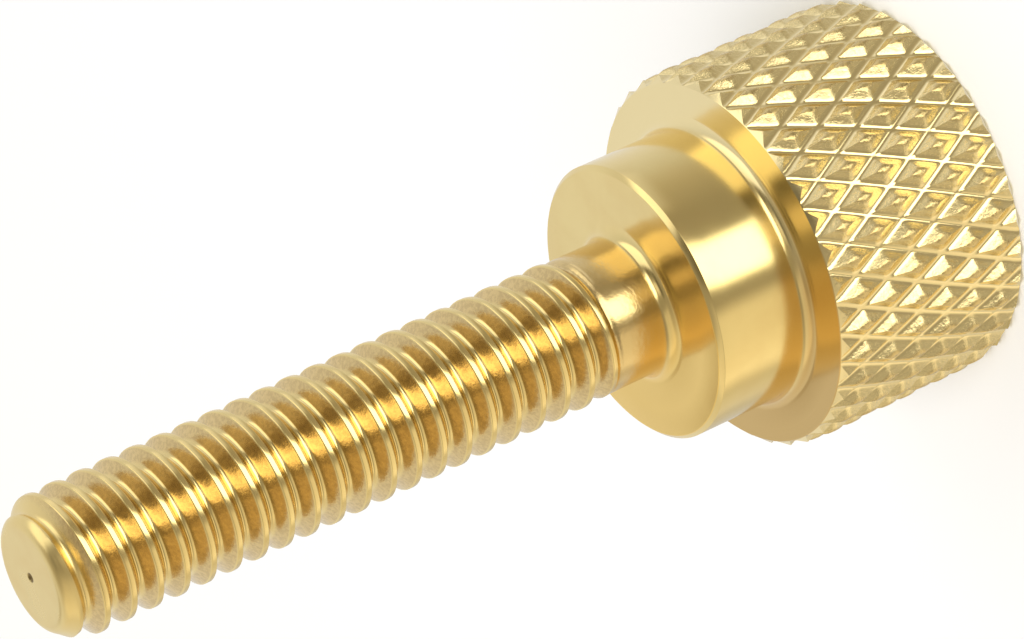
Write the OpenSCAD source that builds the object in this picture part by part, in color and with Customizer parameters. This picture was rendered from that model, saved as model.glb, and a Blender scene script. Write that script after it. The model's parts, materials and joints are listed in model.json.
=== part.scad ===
// Knurled brass thumb screw, turned from one bar.
// It stands on the flat end of its head, with the tip pointing up. Lengths are in mm.

/* [Thread] */
// Diameter over the crests
thread_d = 6.35; // [5:0.05:9]
// Diameter at the bottom of the groove
root_d = 5; // [3.6:0.05:6]
// Distance from one crest to the next
pitch = 1.27; // [0.9:0.01:2]
// Width of the flat on each crest
crest_flat = 0.24; // [0.1:0.01:0.3]
// Width of the flat at the bottom of the groove
root_flat = 0.24; // [0.1:0.01:0.4]
// Turn of the thread round the shank, in degrees
thread_start = 66; // [0:1:360]

/* [Shank] */
// From the tip to the face of the collar
shank_l = 30.2; // [20:0.1:60]
// Diameter of the plain neck between the thread and the collar
neck_d = 6.2; // [5:0.05:9]
// Length of the plain neck
neck_l = 2.6; // [1.2:0.1:8]
// Radius in the corner of the neck and the collar
neck_fillet = 0.6; // [0.2:0.05:1]

/* [Tip] */
// Diameter of the flat end
tip_d = 4.5; // [3:0.05:6]
// Length of the tapered lead
tip_taper = 1.05; // [0.5:0.05:2]
// Diameter of the centre mark that the cut-off tool leaves
mark_d = 0.45; // [0.2:0.05:1]
// Depth of the centre mark
mark_h = 0.12; // [0.05:0.01:0.4]

/* [Collar] */
// Diameter of the collar
collar_d = 12.6; // [9:0.1:15]
// From the face of the collar to the face of the head
collar_l = 4.8; // [2:0.1:12]
// Bevel on the outer edge of the collar
collar_bevel = 0.15; // [0.1:0.05:0.8]
// Radius in the corner of the collar and the head
collar_fillet = 0.55; // [0.2:0.05:1]

/* [Head] */
// Diameter over the knurl
head_d = 17.4; // [14:0.1:24]
// Length of the head
head_l = 10; // [6:0.1:20]
// Diameter of the flat faces at both ends of the head
face_d = 16.6; // [12:0.1:22]
// Length of the smooth rim round each face
rim_l = 0.1; // [0.05:0.05:0.4]

/* [Knurl] */
// Grooves each way round the head
knurl_count = 36; // [18:1:60]
// Length of one diamond along the head
diamond_l = 3; // [1.5:0.1:6]
// Depth of the grooves
knurl_depth = 0.38; // [0.1:0.02:0.6]

/* [Hidden] */
$fn = 96;
// Heights along the screw
tip_z = head_l + collar_l + shank_l;
collar_z = head_l + collar_l;
neck_z = collar_z + neck_l;
// Radii
tip_r = tip_d / 2;
thread_r = thread_d / 2;
root_r = root_d / 2;
neck_r = neck_d / 2;
collar_r = collar_d / 2;
head_r = head_d / 2;
face_r = face_d / 2;
// Small step that keeps a turned edge just proud of the wound or rolled form next to it
edge_step = 0.05;
// How far the thread's core is rooted in the neck
seat_l = 0.5;
// The thread's core inside its root, as a share of it
core_share = 0.6;
// The smooth end of the taper at the tip, as a share of it
tip_land_share = 0.14;

// The thread winds up the shank in flats: flank down, root, flank up, crest
flats = 24;
flat_turn = 360 / flats;
flank_l = (pitch - crest_flat - root_flat) / 2;
rises = [0, flank_l, flank_l + root_flat, 2 * flank_l + root_flat];
corners = len(rises);
land_l = 2 * edge_step;
wind_z = neck_z + land_l;
lead_z = tip_z - tip_taper * tip_land_share;
steps = floor((lead_z - land_l - wind_z - rises[corners - 1]) / pitch * flats);
// Turns over which the groove runs out at the neck and starts at the tip
runout_share = 0.75;
leadin_share = 1;

// The knurl lies on a lattice of quarter diamonds
row_l = diamond_l / 4;
columns = 4 * knurl_count;
column_turn = 360 / columns;
// Room kept for the knurl to end in at each rim, as a share of a row
end_share = 0.33;
half_rows = floor((head_l / 2 - rim_l - row_l * end_share) / row_l);
rows = 2 * half_rows;
first_row_z = head_l / 2 - half_rows * row_l;
groove_r = head_r - knurl_depth;
rim_r = min(groove_r - edge_step, face_r + edge_step);
// Height of a diamond's shoulder, as a share of the knurl's depth
shoulder_share = 0.72;

function ring(r, turn, z) = [r * cos(turn), r * sin(turn), z];
function mix(a, b, share) = a + (b - a) * share;

// Radius of the tapered lead at a height
function taper_r(z) = mix(tip_r, thread_r, (tip_z - z) / tip_taper);

// The thread: each corner of its section, wound up the shank
function wind_rise(i, j) = wind_z + pitch * i / flats + rises[j];
function runout(i) = min(1, i / (flats * runout_share));
function leadin(i) = min(1, (steps - i) / (flats * leadin_share));
function crest_r(i) = mix(neck_r - edge_step, thread_r, runout(i));
function groove_low_r(i) = mix(crest_r(i), mix(neck_r - edge_step, root_r, runout(i)), leadin(i));
function is_crest(j) = j == 0 || j == corners - 1;
function wind_r(i, j) = min(is_crest(j) ? crest_r(i) : groove_low_r(i), taper_r(wind_rise(i, j)));
function wind(i, j) = i * corners + j;

module thread() {
    ring_at = (steps + 1) * corners;
    function low(k) = ring_at + k % flats;
    function foot(k) = ring_at + flats + k % flats;
    function top(k) = ring_at + 2 * flats + k % flats;
    low_centre = ring_at + 3 * flats;
    top_centre = low_centre + 1;
    last = corners - 1;
    end = steps - flats;
    points = concat(
        [for (i = [0:steps]) for (j = [0:last]) ring(wind_r(i, j), i * flat_turn, wind_rise(i, j))],
        [for (k = [0:flats - 1]) ring(neck_r - edge_step, k * flat_turn, neck_z - seat_l)],
        [for (k = [0:flats - 1]) ring(neck_r - edge_step, k * flat_turn, neck_z + land_l / 2)],
        [for (k = [0:flats - 1]) ring(taper_r(lead_z), k * flat_turn, lead_z)],
        [[0, 0, neck_z - seat_l], [0, 0, lead_z]]
    );
    function band(a, b, c, d) = [[a, b, c], [a, c, d]];
    groove = [
        for (i = [0:steps - 1]) for (j = [0:last - 1])
            each band(wind(i, j), wind(i, j + 1), wind(i + 1, j + 1), wind(i + 1, j))
    ];
    crest = [
        for (i = [0:end - 1])
            each band(wind(i, last), wind(i + flats, 0), wind(i + flats + 1, 0), wind(i + 1, last))
    ];
    root = [for (k = [0:flats - 1]) each band(low(k), foot(k), foot(k + 1), low(k + 1))];
    rise = [for (k = [0:flats - 2]) each band(foot(k), wind(k, 0), wind(k + 1, 0), foot(k + 1))];
    start_chain = concat([wind(flats, 0)], [for (j = [last:-1:0]) wind(0, j)], [foot(0), foot(flats - 1)]);
    start = [
        for (j = [0:len(start_chain) - 2])
            [wind(flats - 1, 0), start_chain[j], start_chain[j + 1]]
    ];
    lead = [for (i = [end + 1:steps - 1]) each band(wind(i, last), top(i), top(i + 1), wind(i + 1, last))];
    finish_chain = concat([wind(end, last)], [for (j = [0:last]) wind(steps, j)], [top(steps), top(steps + 1)]);
    finish = [
        for (j = [0:len(finish_chain) - 2])
            [wind(end + 1, last), finish_chain[j], finish_chain[j + 1]]
    ];
    low_disc = [for (k = [0:flats - 1]) [low_centre, low(k), low(k + 1)]];
    top_disc = [for (k = [0:flats - 1]) [top_centre, top(k + 1), top(k)]];
    rotate([0, 0, thread_start])
        polyhedron(points, concat(groove, crest, root, rise, start, lead, finish, low_disc, top_disc));
}

// The knurl: two sets of grooves cross and leave diamonds, whose lattice points are
// a groove's bottom, a diamond's shoulder or a diamond's top
function lattice_row(row) = row + 3 * (half_rows + 1);
function is_top(k, m) = k % 2 == 0 && (k + m) % 4 == 2;
function height_share(k, m) = (k + m) % 2 == 1 ? shoulder_share : is_top(k, m) ? 1 : 0;
function knurl_r(k, row) = groove_r + knurl_depth * height_share(k, lattice_row(row));
function has_top(k, m) = is_top(k, m) || is_top(k + 1, m) || is_top(k, m + 1) || is_top(k + 1, m + 1);
function even(k, m) = (k + m) % 2 == 0;

module knurl() {
    function at(level, k) = level * columns + k % columns;
    top_level = rows + 2;
    low_centre = (top_level + 1) * columns;
    function rising(a, b, c, d) = [[a, b, c], [a, c, d]];
    function falling(a, b, c, d) = [[a, b, d], [b, c, d]];
    // The fold of each small panel follows its groove, or the shoulder of its diamond
    function panel(level, k, along) = along
        ? rising(at(level, k), at(level + 1, k), at(level + 1, k + 1), at(level, k + 1))
        : falling(at(level, k), at(level + 1, k), at(level + 1, k + 1), at(level, k + 1));
    points = concat(
        [for (k = [0:columns - 1]) ring(rim_r, k * column_turn, rim_l)],
        [
            for (row = [0:rows]) for (k = [0:columns - 1])
                ring(knurl_r(k, row), k * column_turn, first_row_z + row * row_l)
        ],
        [for (k = [0:columns - 1]) ring(rim_r, k * column_turn, head_l - rim_l)],
        [[0, 0, rim_l], [0, 0, head_l - rim_l]]
    );
    diamonds = [
        for (row = [0:rows - 1]) for (k = [0:columns - 1])
            each panel(row + 1, k, even(k, lattice_row(row)) != has_top(k, lattice_row(row)))
    ];
    rims = [for (level = [0, rows + 1]) for (k = [0:columns - 1]) each panel(level, k, true)];
    low_disc = [for (k = [0:columns - 1]) [low_centre, at(0, k), at(0, k + 1)]];
    top_disc = [for (k = [0:columns - 1]) [low_centre + 1, at(top_level, k + 1), at(top_level, k)]];
    polyhedron(points, concat(diamonds, rims, low_disc, top_disc));
}

// Half of a corner's rounding, to be revolved: a square less a quarter circle
module corner(r, size) {
    translate([r, 0])
        difference() {
            square(size);
            translate([size, size])
                circle(size);
        }
}

// The turned form: rims, collar, neck, and a core through the thread to the tip
module turned_half() {
    core_r = root_r * core_share;
    polygon([
        [0, 0],
        [face_r, 0],
        [face_r, head_l],
        [collar_r, head_l],
        [collar_r, collar_z - collar_bevel],
        [collar_r - collar_bevel, collar_z],
        [neck_r, collar_z],
        [neck_r, neck_z],
        [core_r, neck_z],
        [core_r, lead_z - seat_l],
        [taper_r(lead_z) - edge_step, lead_z],
        [tip_r, tip_z],
        [0, tip_z]
    ]);
    translate([0, head_l])
        corner(collar_r, collar_fillet);
    translate([0, collar_z])
        corner(neck_r, neck_fillet);
}

module thumb_screw() {
    color([0.80, 0.66, 0.36])
        difference() {
            union() {
                rotate_extrude()
                    turned_half();
                thread();
                knurl();
            }
            translate([0, 0, tip_z - mark_h])
                cylinder(h = 2 * mark_h, r1 = 0, r2 = mark_d);
        }
}

thumb_screw();
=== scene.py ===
"""Knurled brass thumb screw: its fine form, its finish and a plain studio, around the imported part."""

import json
import math
import random
from collections import namedtuple
from types import SimpleNamespace

import bpy
from mathutils import Matrix, Vector

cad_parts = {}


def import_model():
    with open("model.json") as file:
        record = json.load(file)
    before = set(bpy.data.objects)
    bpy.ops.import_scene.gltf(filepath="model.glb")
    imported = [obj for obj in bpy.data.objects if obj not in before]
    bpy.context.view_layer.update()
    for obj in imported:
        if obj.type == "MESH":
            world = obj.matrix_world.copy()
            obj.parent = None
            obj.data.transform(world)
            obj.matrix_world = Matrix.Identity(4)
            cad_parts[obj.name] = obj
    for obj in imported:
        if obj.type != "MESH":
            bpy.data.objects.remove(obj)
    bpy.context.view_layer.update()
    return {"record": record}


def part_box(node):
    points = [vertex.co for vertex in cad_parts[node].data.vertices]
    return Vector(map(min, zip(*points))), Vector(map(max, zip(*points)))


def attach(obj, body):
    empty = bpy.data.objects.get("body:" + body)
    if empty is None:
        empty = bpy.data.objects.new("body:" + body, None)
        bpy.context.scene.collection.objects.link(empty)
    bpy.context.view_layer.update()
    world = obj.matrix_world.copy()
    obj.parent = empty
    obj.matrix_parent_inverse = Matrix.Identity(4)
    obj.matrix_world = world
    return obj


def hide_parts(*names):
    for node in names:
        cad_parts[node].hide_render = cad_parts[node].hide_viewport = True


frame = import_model()
low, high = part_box("thumb_screw")
mounts = {mount["name"]: mount for mount in frame["record"]["mounts"]}

# Main sizes, in millimetres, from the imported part
MM = 0.001
HEAD_R = (high.x - low.x) / 2 / MM
TIP_Z = high.z / MM
COLLAR_R = mounts["collar"]["dims"]["r_mm"]
COLLAR_Z = mounts["collar_face"]["pos_m"][2] / MM
THREAD_R = mounts["thread"]["dims"]["r_mm"]
NECK_Z = mounts["thread"]["pos_m"][2] / MM

# Head, collar and neck
HEAD_Z = 10.0
FACE_R = 8.3
COLLAR_BEVEL = 0.2
COLLAR_FILLET = 0.55
NECK_R = 3.1
NECK_FILLET = 0.6
EDGE_R = 0.04

# Knurl: two sets of grooves that cross
KNURL_SETS = 2
KNURL_COUNT = 36
DIAMOND_L = 3.0
KNURL_DEPTH = 0.38
GROOVE_R = HEAD_R - KNURL_DEPTH
# Height and turn of one of the crossings
CROSSING_Z = 2.71
KNURL_TURN = math.radians(-1.0)
# Half width of a groove and width of its flank, as shares of the space between two grooves
GROOVE_SHARE = 0.09
FLANK_SHARE = 0.3
MIDWAY_SHARE = 0.5
# Softness of a groove's middle, and of the foot and the top of its flank
GROOVE_SOFT = 0.08
VALLEY_SOFT = 0.2
TOP_SOFT = 0.14
# Least height that wear leaves between two grooves, as a share
WEAR_LEAST = 0.95
WEAR_SEED = 7

# Rim of the head: how near to a face the full rows start, and the rows between them and the bevel
KNURL_MARGIN = 0.5
RIM_SHARES = (0.0, 0.33, 0.67)
# Least length of the bevel, and the rounds in which its meeting with the knurl is found
RIM_LEAST = 0.02
RIM_TRIES = 8

# Thread: right hand, cut into the shank
ROOT_R = 2.5
PITCH = 1.27
CREST_FLAT = 0.24
ROOT_FLAT = 0.28
FLANK_L = (PITCH - CREST_FLAT - ROOT_FLAT) / 2
# Height at which the line of the crest passes angle 0
CREST_Z = 45.09
# Softness of the section's corners, as shares of the flank
CREST_SOFT = 0.03
ROOT_SOFT = 0.24
# Points of the section from the root to the crest, closest at the corners, as shares of the flank
SECTION_SHARES = (-0.2, -0.02, 0.12, 0.28, 0.5, 0.92, 0.98, 1.02, 1.09)
# The thread grows out of the neck over a run-out, and its groove gets shallow towards the tip
RUNOUT_GAP = 0.1
RUNOUT_Z = NECK_Z + RUNOUT_GAP
RUNOUT_L = 0.95
LEADIN_Z = 45.2
LEADIN_L = 0.6
# Distance of the last ring from the tip, and room between a point of the thread and a plain ring
THREAD_END = 0.25
RING_CLEAR = 0.02
# More turns than the shank holds, so that the count starts below the neck
TURNS_BELOW = 30

# Tip: a tapered lead, whose corner with the crests is soft near the end, and a centre mark
TIP_R = 2.36
TIP_TAPER = 1.05
TIP_ROUND = 0.5
TAPER_SOFT = 0.12
TAPER_SOFT_FROM = 3
TAPER_SOFT_L = 2
MARK_R = 0.2
MARK_H = 0.2

# Rings that divide long stretches, so that the shading stays even
END_RING_RADII = (2.0, 5.0, 7.6)
HEAD_FACE_RING_R = 7.7
COLLAR_RING_HEIGHTS = (11.4, 12.6, 13.8)
COLLAR_FACE_RING_R = 4.9
NECK_RING_HEIGHTS = (15.8, 16.4)
TIP_RING_RADII = (1.4, 0.7, 0.33)

# Directions in the turned section, in degrees from outward
OUTWARD = 0
BEVEL_FACING = 45
UPWARD = 90
MARK_FACING = 150
INWARD = 180
DOWNWARD = 270

# Fineness: each count of columns round the screw is a whole multiple of the next
TURN = 2 * math.pi
DIAMOND_STEPS = 20
ROW_L = DIAMOND_L / DIAMOND_STEPS
KNURL_COLUMNS = KNURL_COUNT * DIAMOND_STEPS
COLLAR_COLUMNS = KNURL_COLUMNS // 4
SHANK_COLUMNS = COLLAR_COLUMNS // 2
FILLET_STEPS = 10
EDGE_STEPS = 3
TIP_STEPS = 8
SHARP_TURN = math.radians(38)

vertices = []
faces = []


# Mesh helpers
def point(r, angle, z):
    """Adds a vertex at a radius, an angle and a height, and gives its number."""
    vertices.append((r * math.cos(angle) * MM, r * math.sin(angle) * MM, z * MM))
    return len(vertices) - 1


def ring(r, z, columns):
    return [point(r, TURN * k / columns, z) for k in range(columns)]


def rings(section, columns):
    """Turns each point of a section into a ring."""
    return [ring(r, z, columns) for r, z in section]


def join(lower, upper):
    """Joins two rings by faces. The finer ring has a whole number of points to each of the coarser."""
    count = min(len(lower), len(upper))
    low_step = len(lower) // count
    up_step = len(upper) // count
    for k in range(count):
        bottom = [lower[(k * low_step + s) % len(lower)] for s in range(low_step + 1)]
        top = [upper[(k * up_step + s) % len(upper)] for s in range(up_step + 1)]
        faces.append(bottom + top[::-1])


def join_all(rows):
    """Joins each ring to the next."""
    for lower, upper in zip(rows, rows[1:]):
        join(lower, upper)


def close(centre, rim, upward):
    """Closes a ring to a point on the axis."""
    for k in range(len(rim)):
        pair = (rim[k], rim[(k + 1) % len(rim)])
        faces.append([centre, *pair] if upward else [centre, *pair[::-1]])


def mix(a, b, share):
    return a + (b - a) * share


def smooth(x):
    x = min(max(x, 0.0), 1.0)
    return x * x * (3 - 2 * x)


def soft_min(a, b, soft):
    return (a + b - math.sqrt((a - b) ** 2 + soft**2)) / 2


def arc(r, z, radius, start, end, steps):
    """Points of an arc in the turned section, from one direction to another."""
    turns = [math.radians(mix(start, end, s / steps)) for s in range(steps + 1)]
    return [(r + radius * math.cos(t), z + radius * math.sin(t)) for t in turns]


def fillet(r, z, radius):
    """Arc in the corner between a flat face and the cylinder that rises from it."""
    return arc(r + radius, z + radius, radius, DOWNWARD, INWARD, FILLET_STEPS)


# Knurled head
chance = random.Random(WEAR_SEED)
wear = [[chance.uniform(WEAR_LEAST, 1.0) for _ in range(KNURL_COUNT)] for _ in range(KNURL_SETS)]


def flank_height(away):
    """Height at a distance from a groove's middle: a rounded valley, a flank and a flat top."""
    run = (away - GROOVE_SHARE) / FLANK_SHARE
    return (math.hypot(run, VALLEY_SOFT) - math.hypot(run - 1, TOP_SOFT)) / 2


BOTTOM_HEIGHT = flank_height(GROOVE_SOFT)
TOP_HEIGHT = flank_height(math.hypot(MIDWAY_SHARE, GROOVE_SOFT))


def groove_sides(angle, z):
    """Height beside the nearest groove of each set, as shares of the knurl's depth."""
    around = KNURL_COUNT * (angle - KNURL_TURN) / TURN
    along = (z - CROSSING_Z) / DIAMOND_L
    sides = []
    for place, worn in zip((around + along, around - along), wear):
        away = math.hypot(abs(place - round(place)), GROOVE_SOFT)
        share = (flank_height(away) - BOTTOM_HEIGHT) / (TOP_HEIGHT - BOTTOM_HEIGHT)
        sides.append(share * worn[math.floor(place) % KNURL_COUNT])
    return sides


def knurl_r(angle, z):
    return GROOVE_R + KNURL_DEPTH * min(groove_sides(angle, z))


def rim_z(angle, end_z, inward):
    """Height at which the bevel of the head's edge meets the knurl."""
    reach = 0.0
    for _ in range(RIM_TRIES):
        reach = max(RIM_LEAST, knurl_r(angle, end_z + inward * reach) - FACE_R)
    return end_z + inward * reach


def rim_rows(end_z, inward):
    """Rows from a face of the head over its bevel to the first full row of the knurl."""
    rows = [ring(FACE_R, end_z, KNURL_COLUMNS)]
    full_z = end_z + inward * KNURL_MARGIN
    for share in RIM_SHARES:
        row = []
        for k in range(KNURL_COLUMNS):
            angle = TURN * k / KNURL_COLUMNS
            z = mix(rim_z(angle, end_z, inward), full_z, share)
            row.append(point(knurl_r(angle, z), angle, z))
        rows.append(row)
    return rows


def knurl_rows():
    """Full rows of the knurl, from the margin at one face to that at the other."""
    angles = [TURN * k / KNURL_COLUMNS for k in range(KNURL_COLUMNS)]
    count = round((HEAD_Z - 2 * KNURL_MARGIN) / ROW_L)
    heights = [KNURL_MARGIN + j * ROW_L for j in range(count + 1)]
    return [[point(knurl_r(angle, z), angle, z) for angle in angles] for z in heights]


def join_knurl(lower, upper, z):
    """Joins two rows by triangles whose fold follows the nearest groove."""
    for k in range(KNURL_COLUMNS):
        following = (k + 1) % KNURL_COLUMNS
        a, b = lower[k], lower[following]
        c, d = upper[following], upper[k]
        first_side, second_side = groove_sides(TURN * (k + 0.5) / KNURL_COLUMNS, z)
        if second_side < first_side:
            faces.extend([[a, b, c], [a, c, d]])
        else:
            faces.extend([[a, b, d], [b, c, d]])


def build_head():
    """Builds the head from its end face up, and gives the ring round its upper face."""
    centre = point(0, 0, 0)
    end = [ring(r, 0, COLLAR_COLUMNS) for r in END_RING_RADII]
    close(centre, end[0], upward=False)
    lower_rows = end + rim_rows(0, 1)
    join_all(lower_rows)
    body = knurl_rows()
    join(lower_rows[-1], body[0])
    for j in range(len(body) - 1):
        join_knurl(body[j], body[j + 1], KNURL_MARGIN + (j + 0.5) * ROW_L)
    upper_rows = rim_rows(HEAD_Z, -1)[::-1]
    join_all([body[-1], *upper_rows])
    return upper_rows[-1]


# Collar and neck
def build_collar(rim):
    """Builds the collar and the neck on the head's face, and gives the neck's last ring."""
    bevel_z = COLLAR_Z - COLLAR_BEVEL
    bevel_r = COLLAR_R - COLLAR_BEVEL
    collar = [(HEAD_FACE_RING_R, HEAD_Z)]
    collar += fillet(COLLAR_R, HEAD_Z, COLLAR_FILLET)
    collar += [(COLLAR_R, z) for z in COLLAR_RING_HEIGHTS]
    collar += arc(COLLAR_R - EDGE_R, bevel_z - EDGE_R / 2, EDGE_R, OUTWARD, BEVEL_FACING, EDGE_STEPS)
    collar += arc(bevel_r - EDGE_R / 2, COLLAR_Z - EDGE_R, EDGE_R, BEVEL_FACING, UPWARD, EDGE_STEPS)
    collar += [(COLLAR_FACE_RING_R, COLLAR_Z)]
    neck = fillet(NECK_R, COLLAR_Z, NECK_FILLET)
    neck += [(NECK_R, z) for z in (*NECK_RING_HEIGHTS, NECK_Z)]
    rows = [rim] + rings(collar, COLLAR_COLUMNS) + rings(neck, SHANK_COLUMNS)
    join_all(rows)
    return rows[-1]


# Thread
def taper_r(z):
    return mix(TIP_R, THREAD_R, (TIP_Z - z) / TIP_TAPER)


def thread_r(angle, z):
    """Radius of the thread, with its run-out at the neck and its taper at the tip."""
    turn_z = (z - CREST_Z - PITCH * angle / TURN) / PITCH
    from_crest = abs(turn_z - round(turn_z)) * PITCH
    rise = (PITCH / 2 - ROOT_FLAT / 2 - from_crest) / FLANK_L
    share = (1 + math.hypot(rise, ROOT_SOFT) - math.hypot(rise - 1, CREST_SOFT)) / 2
    lead = smooth((LEADIN_Z - z) / LEADIN_L)
    cut = mix(mix(THREAD_R, ROOT_R, lead), THREAD_R, share)
    begun = mix(NECK_R, cut, smooth((z - RUNOUT_Z) / RUNOUT_L))
    soft = TAPER_SOFT * smooth((z - TIP_Z + TAPER_SOFT_FROM) / TAPER_SOFT_L)
    return soft_min(begun, taper_r(z), soft)


def section_rises():
    """Heights of the section's points within one pitch, from a root's middle to just before the next."""
    half = [ROOT_FLAT / 2 + share * FLANK_L for share in SECTION_SHARES]
    return [0.0] + half + [PITCH / 2] + [PITCH - rise for rise in half[::-1]]


def thread_columns(rises, end_z):
    """Points of the thread, one column for each angle. A point keeps its number along the helix,
    and one more turn raises that number by the count of points in a pitch."""
    root_z = CREST_Z - PITCH / 2

    def height(number, k):
        turns, place = divmod(number, len(rises))
        return root_z + PITCH * (turns + k / SHANK_COLUMNS) + rises[place]

    columns = []
    for k in range(SHANK_COLUMNS):
        angle = TURN * k / SHANK_COLUMNS
        number = -len(rises) * TURNS_BELOW
        column = {}
        while height(number, k) < end_z - RING_CLEAR:
            z = height(number, k)
            if z > NECK_Z + RING_CLEAR:
                column[number] = point(thread_r(angle, z), angle, z)
            number += 1
        columns.append(column)
    return columns


def before(column, first):
    """Points of a column that come before a number, in order."""
    return [column[number] for number in sorted(column) if number < first]


def after(column, last):
    """Points of a column that come after a number, in order."""
    return [column[number] for number in sorted(column) if number > last]


def build_thread(foot):
    """Winds the thread on from the neck's last ring, and gives the plain ring above it."""
    rises = section_rises()
    end_z = TIP_Z - THREAD_END
    top = ring(taper_r(end_z), end_z, SHANK_COLUMNS)
    columns = thread_columns(rises, end_z)
    for k in range(SHANK_COLUMNS):
        following = (k + 1) % SHANK_COLUMNS
        # Past the last column the helix is one turn higher
        shift = len(rises) if following == 0 else 0
        here = columns[k]
        there = {number - shift: index for number, index in columns[following].items()}
        both = sorted(set(here) & set(there))
        for number in both[:-1]:
            faces.append([here[number], there[number], there[number + 1], here[number + 1]])
        first, last = both[0], both[-1]
        low_here = before(here, first)[::-1]
        low_there = before(there, first)
        top_here = after(here, last)[::-1]
        top_there = after(there, last)
        faces.append([foot[k], foot[following], *low_there, there[first], here[first], *low_here])
        faces.append([here[last], there[last], *top_there, top[following], top[k], *top_here])
    return top


# Tip
def build_tip(foot):
    """Rounds the taper into the flat end, with its centre mark."""
    slope = math.atan2(TIP_TAPER, THREAD_R - TIP_R)
    flat_r = TIP_R - TIP_ROUND * math.tan(slope / 2)
    taper_facing = UPWARD - math.degrees(slope)
    section = arc(flat_r, TIP_Z - TIP_ROUND, TIP_ROUND, taper_facing, UPWARD, TIP_STEPS)
    section += [(r, TIP_Z) for r in TIP_RING_RADII]
    section += arc(MARK_R + EDGE_R, TIP_Z - EDGE_R, EDGE_R, UPWARD, MARK_FACING, EDGE_STEPS)
    rows = [foot] + rings(section, SHANK_COLUMNS)
    join_all(rows)
    close(point(0, 0, TIP_Z - MARK_H), rows[-1], upward=True)


def build_screw():
    build_tip(build_thread(build_collar(build_head())))
    mesh = bpy.data.meshes.new("screw")
    mesh.from_pydata(vertices, [], faces)
    mesh.validate()
    mesh.polygons.foreach_set("use_smooth", [True] * len(mesh.polygons))
    mesh.set_sharp_from_angle(angle=SHARP_TURN)
    screw = bpy.data.objects.new("screw", mesh)
    bpy.context.scene.collection.objects.link(screw)
    return screw


# Node helpers, with the numbers of a mix node's colour sockets
MIX_SHARE = 0
MIX_A = 6
MIX_B = 7
MIX_RESULT = 2


def add(tree, kind, inputs=(), **settings):
    """Adds a node; each input is a number, a colour or another node's socket."""
    made = tree.nodes.new(kind)
    for name, value in settings.items():
        setattr(made, name, value)
    for key, value in dict(inputs).items():
        if isinstance(value, bpy.types.NodeSocket):
            tree.links.new(value, made.inputs[key])
        else:
            made.inputs[key].default_value = value
    return made


def calc(tree, operation, *values):
    return add(tree, "ShaderNodeMath", enumerate(values), operation=operation).outputs[0]


def times(tree, a, b):
    return calc(tree, "MULTIPLY", a, b)


def ramp(tree, value, start, end, low_value=0.0, high_value=1.0):
    """Maps a value smoothly from one range to another."""
    inputs = {"Value": value, "From Min": start, "From Max": end}
    inputs.update({"To Min": low_value, "To Max": high_value})
    return add(tree, "ShaderNodeMapRange", inputs, interpolation_type="SMOOTHSTEP").outputs[0]


def fade(tree, value, level, offsets):
    """Mask that rises from 0 to 1 between two offsets from a level, in millimetres."""
    start, end = offsets
    return ramp(tree, value, (level + start) * MM, (level + end) * MM)


def blend(tree, share, a, b):
    """Mixes two colours."""
    inputs = {MIX_SHARE: share, MIX_A: a, MIX_B: b}
    return add(tree, "ShaderNodeMix", inputs, data_type="RGBA").outputs[MIX_RESULT]


def noise(tree, vector, settings):
    return add(tree, "ShaderNodeTexNoise", {"Vector": vector, **settings}).outputs[0]


def new_material(name):
    material = bpy.data.materials.new(name)
    material.use_nodes = True
    tree = material.node_tree
    return material, tree, tree.nodes["Principled BSDF"]


# Brass: its colours
BRASS = (0.88, 0.7, 0.32, 1)
BRASS_HEAD = (0.94, 0.78, 0.42, 1)
BRASS_DEEP = (0.82, 0.61, 0.26, 1)
BRASS_SHANK = (0.78, 0.59, 0.28, 1)
BRASS_CUT = (0.67, 0.5, 0.24, 1)
BRASS_DULL = (0.66, 0.51, 0.24, 1)
# Painted shade for one side of the head's face, and a painted warm reflection for the collar's face
BRASS_SHADED_SIDE = (0.72, 0.5, 0.2, 1)
BRASS_REFLECTED_GOLD = (0.92, 0.65, 0.22, 1)
# Painted shade for the hollow of the centre mark
PAINTED_HOLE_SHADE = (0.26, 0.19, 0.09, 1)
CLOUD_SHARE = 0.35
DULL_SHARE = 0.85

# Fine turning marks, grain, and broad patches
MARKS_NOISE = {"Scale": 5200, "Detail": 3}
GRAIN_NOISE = {"Scale": 5200, "Detail": 4, "Roughness": 0.65}
PATCH_NOISE = {"Scale": 420, "Detail": 3, "Roughness": 0.6}

# Ranges of the noise over which the finish changes
SPECKLE_RANGE = (0.42, 0.62)
CLOUD_RANGE = (0.35, 0.7)
MOTTLE_RANGE = (0.4, 0.6)
PATCH_RANGE = (0.3, 0.75)
TOP_RANGE = (0.3, 0.7)

# Offsets in millimetres at which each part of the finish starts and is full
HEAD_FADE = (0.0, -0.3)
PALE_FADE = (0.4, 0.1)
GROOVE_FADE = (0.05 * KNURL_DEPTH, 0.3 * KNURL_DEPTH)
TOP_FADE = (-0.35 * KNURL_DEPTH, -0.1 * KNURL_DEPTH)
SHANK_FADE = (0.2, 0.8)
TIP_FADE = (-0.9, -1.3)
CREST_FADE = (-0.02, -0.08)
ROOT_FADE = (0.06, 0.2)
NECK_FADE = (0.6, 0.0)
MARK_FADE = (0.05, -0.02)
FACE_LOW_FADE = (-0.05, -0.02)
FACE_HIGH_FADE = (0.4, 0.1)
SIDE_FADE = (-0.5, -3.0)

# Roughness of the turned brass, and what other places add to it
TURNED_ROUGH = (0.15, 0.21)
NECK_ROUGH = 0.03
FLANK_ROUGH = -0.01
TIP_ROUGH = 0.12
KNURL_ROUGH = 0.06
TOP_ROUGH = (0.0, 0.14)

# Relief of the turning marks and of the grain
MARKS_STRENGTH = 0.05
MARKS_RELIEF = 0.02 * MM
KNURL_STRENGTH = 0.55
CUT_STRENGTH = 0.16
GRAIN_RELIEF = 0.06 * MM


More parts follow.
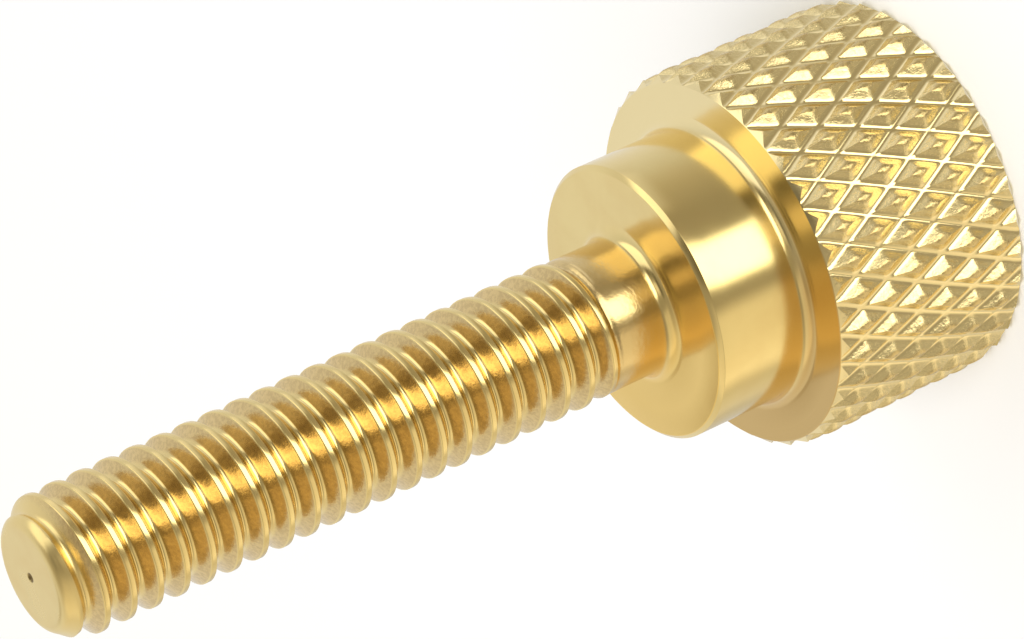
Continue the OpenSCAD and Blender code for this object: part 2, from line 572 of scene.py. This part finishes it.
def face_mask(tree, z, level):
    """Mask of the flat face at a height, and of the foot of the corner next to it."""
    return times(tree, fade(tree, z, level, FACE_LOW_FADE), fade(tree, z, level, FACE_HIGH_FADE))


def brass_places(tree):
    """Noise of the surface, and masks that say which part of the screw a point is on."""
    at = SimpleNamespace()
    place = add(tree, "ShaderNodeTexCoord").outputs["Object"]
    x, y, z = add(tree, "ShaderNodeSeparateXYZ", {0: place}).outputs
    radius = calc(tree, "SQRT", calc(tree, "ADD", times(tree, x, x), times(tree, y, y)))
    at.grain = noise(tree, place, GRAIN_NOISE)
    at.patches = noise(tree, place, PATCH_NOISE)
    # Turning marks follow the radius and the height, so they ring the axis
    around = add(tree, "ShaderNodeCombineXYZ", {0: radius, 1: z}).outputs[0]
    at.marks = noise(tree, around, MARKS_NOISE)

    on_head = fade(tree, z, HEAD_Z, HEAD_FADE)
    at.knurl = times(tree, on_head, fade(tree, radius, GROOVE_R, GROOVE_FADE))
    at.tops = times(tree, on_head, fade(tree, radius, HEAD_R, TOP_FADE))
    at.pale = fade(tree, z, HEAD_Z, PALE_FADE)
    # Side on which shade and a warm reflection are painted on the flat faces
    painted_side = fade(tree, x, 0, SIDE_FADE)
    at.head_face = times(tree, face_mask(tree, z, HEAD_Z), painted_side)
    at.collar_face = times(tree, face_mask(tree, z, COLLAR_Z), painted_side)

    past_collar = fade(tree, z, COLLAR_Z, SHANK_FADE)
    before_tip = fade(tree, z, TIP_Z, TIP_FADE)
    off_crest = fade(tree, radius, THREAD_R, CREST_FADE)
    off_root = fade(tree, radius, ROOT_R, ROOT_FADE)
    at.shank = times(tree, past_collar, before_tip)
    at.flank = times(tree, off_crest, off_root)
    at.cut = times(tree, at.shank, at.flank)
    at.neck = fade(tree, z, NECK_Z, NECK_FADE)
    at.tip = calc(tree, "SUBTRACT", 1.0, before_tip)
    at.mark = times(tree, fade(tree, radius, MARK_R, MARK_FADE), past_collar)
    return at


def brass_colour(tree, at):
    cloud = times(tree, ramp(tree, at.patches, *CLOUD_RANGE), CLOUD_SHARE)
    polished = blend(tree, cloud, BRASS, BRASS_DEEP)
    lighter = blend(tree, at.pale, polished, BRASS_HEAD)
    # Painted shade darkens the head's flat face on one side, and a painted warm reflection turns the
    # collar's face golden on that side
    shaded_face = blend(tree, at.head_face, lighter, BRASS_SHADED_SIDE)
    reflected_gold = blend(tree, at.collar_face, shaded_face, BRASS_REFLECTED_GOLD)
    # The shank is cut and not polished: deeper in colour, even on the neck and mottled on the flanks
    even = calc(tree, "MAXIMUM", ramp(tree, at.grain, *MOTTLE_RANGE), at.neck)
    mottled = blend(tree, even, BRASS_CUT, BRASS_SHANK)
    plain = blend(tree, at.cut, reflected_gold, mottled)
    # The knurl is pressed and handled, so its diamonds are duller than its grooves
    dull = blend(tree, ramp(tree, at.grain, *SPECKLE_RANGE), BRASS_DULL, BRASS_DEEP)
    worn = blend(tree, times(tree, at.tops, DULL_SHARE), plain, dull)
    # Painted shade darkens the centre mark of the tip, which is a hollow
    return blend(tree, at.mark, worn, PAINTED_HOLE_SHADE)


def brass_roughness(tree, at):
    neck = times(tree, at.neck, NECK_ROUGH)
    shank = calc(tree, "MULTIPLY_ADD", at.flank, FLANK_ROUGH, neck)
    tops = ramp(tree, at.grain, *TOP_RANGE, *TOP_ROUGH)
    rough = ramp(tree, at.patches, *PATCH_RANGE, *TURNED_ROUGH)
    added = ((at.shank, shank), (at.tip, TIP_ROUGH), (at.knurl, KNURL_ROUGH), (at.tops, tops))
    for where, amount in added:
        rough = calc(tree, "MULTIPLY_ADD", where, amount, rough)
    return rough


def brass_relief(tree, at):
    fine = {"Strength": MARKS_STRENGTH, "Distance": MARKS_RELIEF, "Height": at.marks}
    turned = add(tree, "ShaderNodeBump", fine).outputs[0]
    strength = calc(tree, "MULTIPLY_ADD", at.knurl, KNURL_STRENGTH, times(tree, at.cut, CUT_STRENGTH))
    pitted = {"Strength": strength, "Distance": GRAIN_RELIEF, "Height": at.grain, "Normal": turned}
    return add(tree, "ShaderNodeBump", pitted).outputs[0]


def brass():
    material, tree, shader = new_material("turned_brass")
    at = brass_places(tree)
    tree.links.new(brass_colour(tree, at), shader.inputs["Base Color"])
    tree.links.new(brass_roughness(tree, at), shader.inputs["Roughness"])
    tree.links.new(brass_relief(tree, at), shader.inputs["Normal"])
    shader.inputs["Metallic"].default_value = 1.0
    return material


# Floor, in metres, a hair below the head's end so that no faces coincide
FLOOR_Z = -0.02 * MM
FLOOR_HALF = 1.5
FLOOR_COLOUR = (0.9, 0.91, 0.94, 1)
FLOOR_ROUGH = 0.9


def build_floor():
    mesh = bpy.data.meshes.new("floor")
    signs = ((-1, -1), (1, -1), (1, 1), (-1, 1))
    corners = [(x * FLOOR_HALF, y * FLOOR_HALF, FLOOR_Z) for x, y in signs]
    mesh.from_pydata(corners, [], [(0, 1, 2, 3)])
    floor = bpy.data.objects.new("floor", mesh)
    bpy.context.scene.collection.objects.link(floor)
    material, _, shader = new_material("pale_floor")
    shader.inputs["Base Color"].default_value = FLOOR_COLOUR
    shader.inputs["Roughness"].default_value = FLOOR_ROUGH
    shader.inputs["Specular IOR Level"].default_value = 0.0
    mesh.materials.append(material)
    # The screw mirrors the studio all round, also below the floor's line
    floor.visible_glossy = False
    floor.visible_shadow = False


# Studio light: dim in front and bright behind, with soft panels that add light or take it away
DEPTH_RANGE = (-0.7, 0.8)
DEPTH_LEVELS = (0.35, 0.84)
# A panel's place, half size and softness, in degrees: side from the front, rise from level
Panel = namedtuple("Panel", "side rise half_w half_h soft level lean", defaults=[0])
PANELS = [
    Panel(side=6, rise=-14, half_w=18, half_h=28, soft=8, level=2.5, lean=0.3),
    Panel(side=73, rise=34, half_w=27, half_h=27, soft=10, level=0.95),
    Panel(side=-68, rise=-32, half_w=33, half_h=16, soft=16, level=0.56),
    Panel(side=80, rise=-14, half_w=26, half_h=10, soft=12, level=0.42),
    Panel(side=-72, rise=30, half_w=38, half_h=22, soft=16, level=0.34),
    Panel(side=5, rise=33, half_w=10, half_h=11, soft=8, level=0.6),
    Panel(side=34, rise=32, half_w=7, half_h=10, soft=8, level=-0.2),
    Panel(side=22, rise=55, half_w=36, half_h=8, soft=10, level=-0.2),
    Panel(side=0, rise=90, half_w=360, half_h=22, soft=20, level=-0.12),
    Panel(side=-155, rise=-30, half_w=20, half_h=14, soft=14, level=-0.2),
    Panel(side=-168, rise=38, half_w=10.5, half_h=9, soft=6, level=-0.3),
]
# Dim light is warm, brighter light is white away from the front left, and the brightest is pale yellow
WARM = (1.0, 0.9, 0.7, 1)
GLOW = (1.0, 0.985, 0.86, 1)
WHITE = (1, 1, 1, 1)
GLOW_LEVELS = (1.0, 1.6)
WHITE_LEVELS = (0.45, 0.75)
WHITE_SIDES = (-0.9, 0.6)


def panel_share(tree, panel, side, rise):
    """Mask of a panel, with soft edges."""
    above = calc(tree, "SUBTRACT", rise, panel.rise)
    level_side = calc(tree, "SUBTRACT", side, panel.side)
    beside = calc(tree, "SUBTRACT", level_side, times(tree, above, panel.lean))
    edge = panel.soft / 2
    across = ramp(tree, calc(tree, "ABSOLUTE", beside), panel.half_w + edge, panel.half_w - edge)
    along = ramp(tree, calc(tree, "ABSOLUTE", above), panel.half_h + edge, panel.half_h - edge)
    return times(tree, across, along)


def build_world():
    world = bpy.data.worlds.new("studio")
    bpy.context.scene.world = world
    world.use_nodes = True
    tree = world.node_tree
    tree.nodes.clear()
    towards = add(tree, "ShaderNodeTexCoord").outputs["Generated"]
    x, y, z = add(tree, "ShaderNodeSeparateXYZ", {0: towards}).outputs
    side = calc(tree, "DEGREES", calc(tree, "ARCTAN2", x, times(tree, y, -1.0)))
    rise = calc(tree, "DEGREES", calc(tree, "ARCSINE", z))
    level = ramp(tree, y, *DEPTH_RANGE, *DEPTH_LEVELS)
    for panel in PANELS:
        change = times(tree, panel_share(tree, panel, side, rise), panel.level)
        level = calc(tree, "ADD", level, change)
    away = ramp(tree, calc(tree, "ADD", x, y), *WHITE_SIDES)
    white_share = times(tree, ramp(tree, level, *WHITE_LEVELS), away)
    soft = blend(tree, white_share, WARM, WHITE)
    tint = blend(tree, ramp(tree, level, *GLOW_LEVELS), soft, GLOW)
    shader = add(tree, "ShaderNodeBackground", {"Color": tint, "Strength": level})
    output = add(tree, "ShaderNodeOutputWorld")
    tree.links.new(shader.outputs[0], output.inputs[0])


# Lamp above the front, in metres and watts, for the soft shadow
LAMP_AT = Vector((-0.1, -0.3, 0.7))
LAMP_SIZE = 0.5
LAMP_POWER = 3.6


def build_lamp():
    lamp = bpy.data.lights.new("overhead", "AREA")
    lamp.shape = "DISK"
    lamp.size = LAMP_SIZE
    lamp.energy = LAMP_POWER
    overhead = bpy.data.objects.new("overhead", lamp)
    overhead.location = LAMP_AT
    overhead.rotation_euler = (-LAMP_AT).to_track_quat("-Z", "Y").to_euler()
    overhead.visible_glossy = False
    bpy.context.scene.collection.objects.link(overhead)


# Camera: rolled, so that the screw lies across the frame with its tip at the lower left
CAMERA_AT = Vector((-3.605, -192.666, 119.802)) * MM
CAMERA_RIGHT = Vector((-0.42233, -0.40697, -0.80995))
CAMERA_UP = Vector((0.90614, -0.21275, -0.36558))
LENS = 179.90
SENSOR_W = 36
NEAREST = 0.01
FARTHEST = 10


def build_camera():
    data = bpy.data.cameras.new("camera")
    data.sensor_width = SENSOR_W
    data.sensor_fit = "HORIZONTAL"
    data.lens = LENS
    data.clip_start = NEAREST
    data.clip_end = FARTHEST
    camera = bpy.data.objects.new("camera", data)
    back = CAMERA_RIGHT.cross(CAMERA_UP)
    axes = Matrix((CAMERA_RIGHT, CAMERA_UP, back)).transposed().to_4x4()
    camera.matrix_world = Matrix.Translation(CAMERA_AT) @ axes
    bpy.context.scene.collection.objects.link(camera)
    bpy.context.scene.camera = camera


screw = build_screw()
screw.data.materials.append(brass())
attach(screw, "root")
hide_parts("thumb_screw")

build_floor()
build_world()
build_lamp()
build_camera()
bpy.context.scene.view_settings.view_transform = "Standard"
